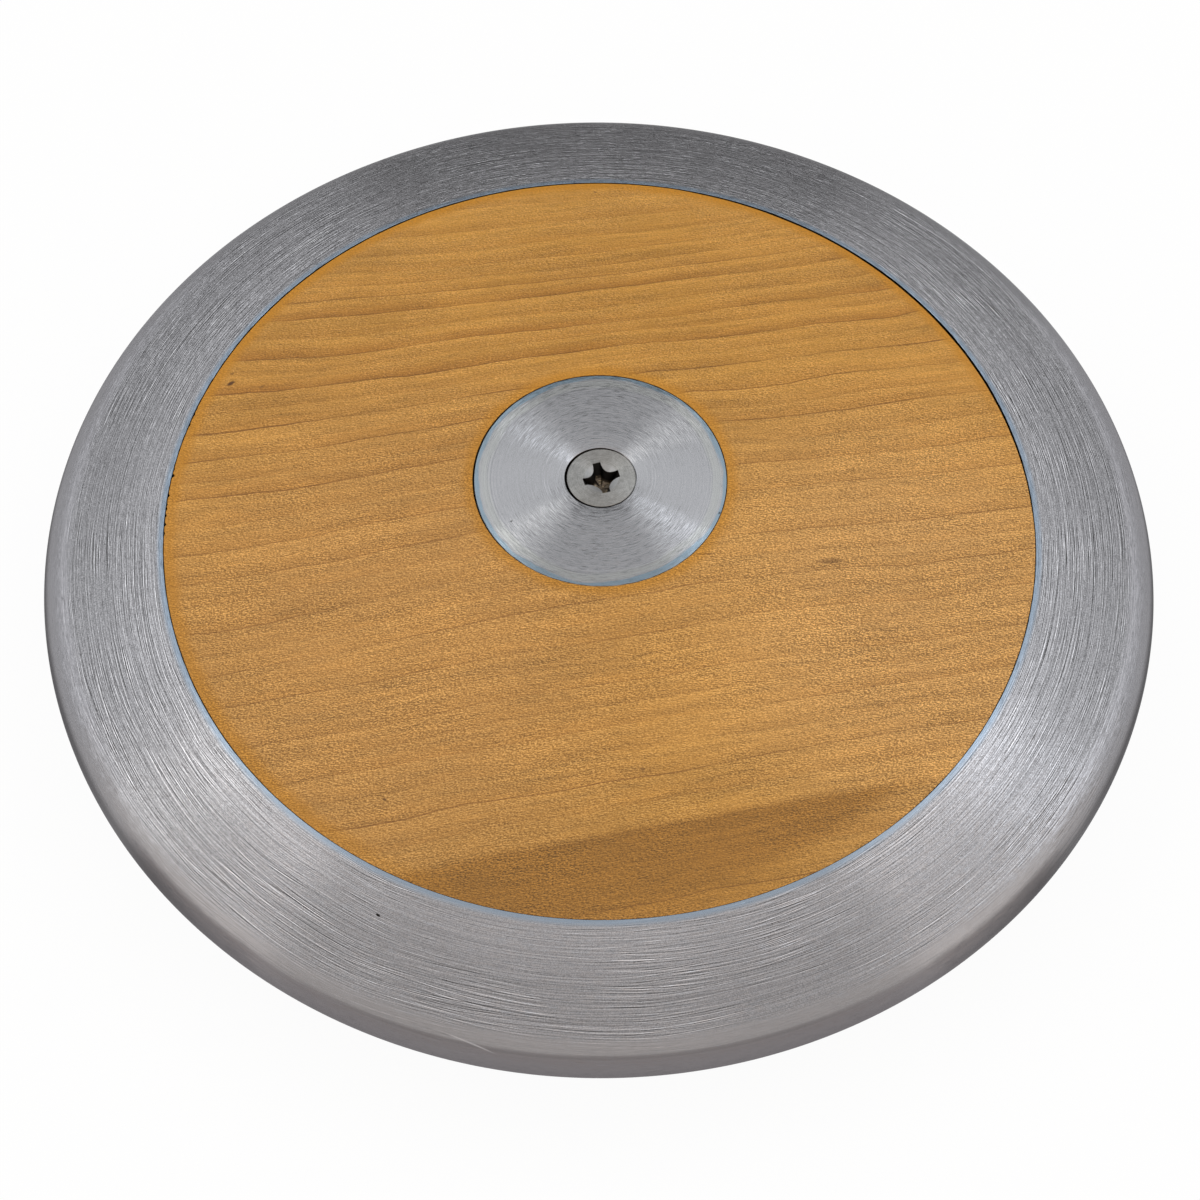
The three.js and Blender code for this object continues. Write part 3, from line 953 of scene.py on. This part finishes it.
def plate_outline():
    bevel = PLATE_RADIUS - PLATE_BEVEL
    inner, outer = PLATE_FACE_INSETS
    return [
        (COUNTERSINK_RADIUS + COUNTERSINK_BREAK, TOP_HEIGHT),
        (COUNTERSINK_RADIUS - COUNTERSINK_DROP, TOP_HEIGHT - COUNTERSINK_DROP),
        (SCREW_HOLE_RADIUS, TOP_HEIGHT - (COUNTERSINK_RADIUS - SCREW_HOLE_RADIUS)),
        (SCREW_HOLE_RADIUS, PLATE_FLOOR),
        (PLATE_RADIUS, PLATE_FLOOR),
        (PLATE_RADIUS, TOP_HEIGHT - PLATE_DROP - PLATE_BREAK),
        (PLATE_RADIUS - PLATE_BREAK, TOP_HEIGHT - PLATE_DROP),
        (bevel, TOP_HEIGHT),
        (bevel - outer, TOP_HEIGHT),
        (COUNTERSINK_RADIUS + inner, TOP_HEIGHT),
    ]


def recess_reach(angle, depth):
    """How far the cross recess reaches from the screw's axis, at an angle from a wing and a depth"""
    share = depth / RECESS_DEPTH
    length = WING_LENGTH + (WING_FLOOR_LENGTH - WING_LENGTH) * share
    half = WING_HALF + (WING_FLOOR_HALF - WING_HALF) * share
    cheek = CHEEK_RADIUS + (CHEEK_FLOOR_RADIUS - CHEEK_RADIUS) * share
    away = abs((angle + math.pi / 4) % (math.pi / 2) - math.pi / 4)
    tip = length / math.cos(away)
    if tip * math.sin(away) <= half:
        return tip
    flank = half / math.sin(away)
    if flank * math.cos(away) >= half + cheek:
        return flank
    centre = (half + cheek) * math.sqrt(2)
    off = centre * math.sin(math.pi / 4 - away)
    return min(tip, centre * math.cos(math.pi / 4 - away) - math.sqrt(max(0.0, cheek ** 2 - off ** 2)))


def recess_profile(angle):
    """(radius, depth) points from the head's flat face down to the recess floor. The lip, where the coned
    mouth ends in the recess's wall, is found by halving."""
    top = recess_reach(angle, 0)
    outer = max(MOUTH_RADIUS, top)
    low, high = 0.0, RECESS_DEPTH
    for _ in range(LIP_HALVINGS):
        middle = (low + high) / 2
        cone = outer - middle / MOUTH_SLOPE
        low, high = (middle, high) if cone > recess_reach(angle, middle) else (low, middle)
    lip = low if top < MOUTH_RADIUS else 0.0
    points = [(outer + (recess_reach(angle, lip) - outer) * share, lip * share) for share in (0, 0.5, 1)]
    for step in range(1, RECESS_STEPS + 1):
        depth = lip + (RECESS_DEPTH - lip) * step / RECESS_STEPS
        points.append((recess_reach(angle, depth), depth))
    floor = recess_reach(angle, RECESS_DEPTH)
    return points + [(floor * share, RECESS_DEPTH + RECESS_POINT * (1 - share)) for share in (0.6, 0.3)]


def shank_profile(angle):
    """(radius, height) points from the head's edge down its cone and the thread to the tip"""
    cone_end = HEAD_TOP - (HEAD_RADIUS - SHANK_RADIUS)
    start = cone_end - NECK_LENGTH
    rows = THREAD_STEPS * round((start - SCREW_TIP) / THREAD_PITCH)
    points = [
        (HEAD_RADIUS - HEAD_BREAK_WIDTH, HEAD_TOP),
        (HEAD_RADIUS, HEAD_TOP - HEAD_BREAK_DEPTH),
        (SHANK_RADIUS + CONE_BREAK, cone_end + CONE_BREAK),
        (SHANK_RADIUS, cone_end - CONE_BREAK),
    ]
    for row in range(rows + 1):
        height = start - (start - SCREW_TIP) * row / rows
        phase = (height / THREAD_PITCH - angle / (2 * math.pi)) % 1
        depth = THREAD_DEPTH * max(0.0, 1 - abs(phase - 0.5) / THREAD_HALF_SHARE)
        run_in = min(1.0, row / THREAD_STEPS)
        crest = min(SHANK_RADIUS, SHANK_RADIUS - TIP_CHAMFER + (height - SCREW_TIP))
        points.append((min(crest, SHANK_RADIUS - depth * run_in), height))
    return points


def screw(name, side):
    """A countersunk screw with a cross recess and a rolled thread"""
    turn = math.radians(RECESS_TURN[name])
    vertices = []
    for step in range(SCREW_STEPS):
        angle = 2 * math.pi * step / SCREW_STEPS
        column = [(radius, HEAD_TOP - depth) for radius, depth in reversed(recess_profile(angle - turn))]
        column += [(HEAD_FACE_RING, HEAD_TOP)] + shank_profile(angle)
        for radius, height in column:
            x, y = radius * math.cos(angle), radius * math.sin(angle)
            vertices.append((x + SCREW_CENTRE, y * side, height * side))
    count = len(column)
    floor, end = len(vertices), len(vertices) + 1
    for height in (HEAD_TOP - RECESS_DEPTH - RECESS_POINT, SCREW_TIP):
        vertices.append((SCREW_CENTRE, 0, height * side))
    faces = []
    for step in range(SCREW_STEPS):
        here, after = step * count, (step + 1) % SCREW_STEPS * count
        faces.append((floor, here, after))
        faces.append((end, after + count - 1, here + count - 1))
        faces += [(here + i, here + i + 1, after + i + 1, after + i) for i in range(count - 1)]
    return mesh_piece(f"{name}_screw_cut", vertices, faces, screw_material, 25)


seated(turned("rim_turned", rim_outline(), rim_material, 1, RIM_STEPS), "rim")
for name, side in (("upper", 1), ("lower", -1)):
    body = turned(f"{name}_wood_turned", side_outline(), wood_materials[name], side, WOOD_STEPS, wood_wear)
    seated(body, f"{name}_wood_side")
    plate = turned(f"{name}_plate_turned", plate_outline(), plate_material, side, PLATE_STEPS)
    seated(plate, f"{name}_hub_plate")
    seated(screw(name, side), f"{name}_screw")


def make_floor():
    """A round white floor whose edge stands up as a low wall"""
    reach, level = FLOOR_RADIUS * MM, -TOP_HEIGHT * MM
    angles = [2 * math.pi * step / FLOOR_STEPS for step in range(FLOOR_STEPS)]
    corners = []
    for height in (level, level + FLOOR_WALL * MM):
        corners += [(reach * math.cos(angle), reach * math.sin(angle), height) for angle in angles]
    faces = [tuple(range(FLOOR_STEPS))]
    for step in range(FLOOR_STEPS):
        after = (step + 1) % FLOOR_STEPS
        faces.append((step, step + FLOOR_STEPS, after + FLOOR_STEPS, after))
    mesh = bpy.data.meshes.new("floor")
    mesh.from_pydata(corners, [], faces)
    piece = bpy.data.objects.new("floor", mesh)
    bpy.context.scene.collection.objects.link(piece)
    graph = Material("floor_white", Base_Color=(0.88, 0.88, 0.88, 1), Roughness=0.85)
    path = graph.node("LightPath").outputs
    mirrored = graph.math("MAXIMUM", path["Is Glossy Ray"], path["Is Transmission Ray"])
    seen = graph.math("MAXIMUM", path["Is Camera Ray"], mirrored)
    glow = graph.node("Emission", {"Color": (1, 1, 1, 1), "Strength": 1.0}).outputs[0]
    layers = {0: graph.times(seen, FLOOR_GLOW), 1: graph.shader.outputs[0], 2: glow}
    graph.put(graph.output, graph.node("MixShader", layers).outputs[0])
    mesh.materials.append(graph.material)


make_floor()


def make_world():
    """A studio with a pale ceiling, a lit front, half-lit walls at the left and right and a dim back. The
    side walls end in edges that run towards one point over the back wall."""
    world = bpy.data.worlds.new("studio")
    bpy.context.scene.world = world
    world.use_nodes = True
    graph = Graph(world.node_tree)
    background = world.node_tree.nodes["Background"]
    x, y, z = graph.node("SeparateXYZ", {0: graph.node("TexCoord").outputs["Generated"]}).outputs
    front = graph.ease(y, 0.1, -0.3)
    low = graph.add(0.05, graph.times(front, 0.54))
    lit = graph.ease(y, 0.0, 0.4, 0.9, 1.03)
    ceiling = graph.line(graph.ease(z, 0.59, 0.68), 0, 1, low, lit)
    beside = graph.math("ABSOLUTE", graph.less(y, STUDIO_POINT))
    aside = graph.math("ABSOLUTE", x)
    beyond = graph.less(graph.times(aside, WALL_SLOPE), beside)
    fall = graph.ease(aside, 0.15, 0.55, 0.32, 0.5)
    walls = graph.times(graph.ease(beyond, 0.0, 0.1), fall, graph.ease(z, 0.0, 0.08))
    near_side = graph.ease(y, 0, -0.4, 0.0, 0.15)
    graph.put(background.inputs["Strength"], graph.add(ceiling, walls, near_side))
    warm = graph.ease(y, 0.25, -0.15)
    graph.put(background.inputs["Color"], graph.mix(warm, (0.985, 1.0, 1.02, 1), (1.04, 0.97, 0.92, 1)))


make_world()


def make_softbox(name, direction, tint, power):
    """A long lamp a metre away, which runs towards the same point over the back wall"""
    lamp = bpy.data.lights.new(name, "AREA")
    lamp.shape = "RECTANGLE"
    lamp.size, lamp.size_y = SOFTBOX_WIDTH_METRES, SOFTBOX_LENGTH_METRES
    lamp.energy = power
    lamp.color = tint
    away = Vector(direction).normalized()
    run = Vector((away.x, away.y - STUDIO_POINT, 0))
    run.z = -run.dot(away) / away.z
    run.normalize()
    axes = Matrix((run.cross(away), run, away)).transposed()
    piece = bpy.data.objects.new(name, lamp)
    piece.matrix_world = Matrix.Translation(away) @ axes.to_4x4()
    piece.visible_camera = False
    bpy.context.scene.collection.objects.link(piece)


make_softbox("left_softbox", direction=(-0.36, 0.222, 0.80), tint=(1.0, 1.0, 0.95), power=0.26)
make_softbox("right_softbox", direction=(0.389, 0.24, 0.80), tint=(0.88, 0.93, 1.0), power=0.34)

bpy.context.scene.view_settings.view_transform = "Standard"
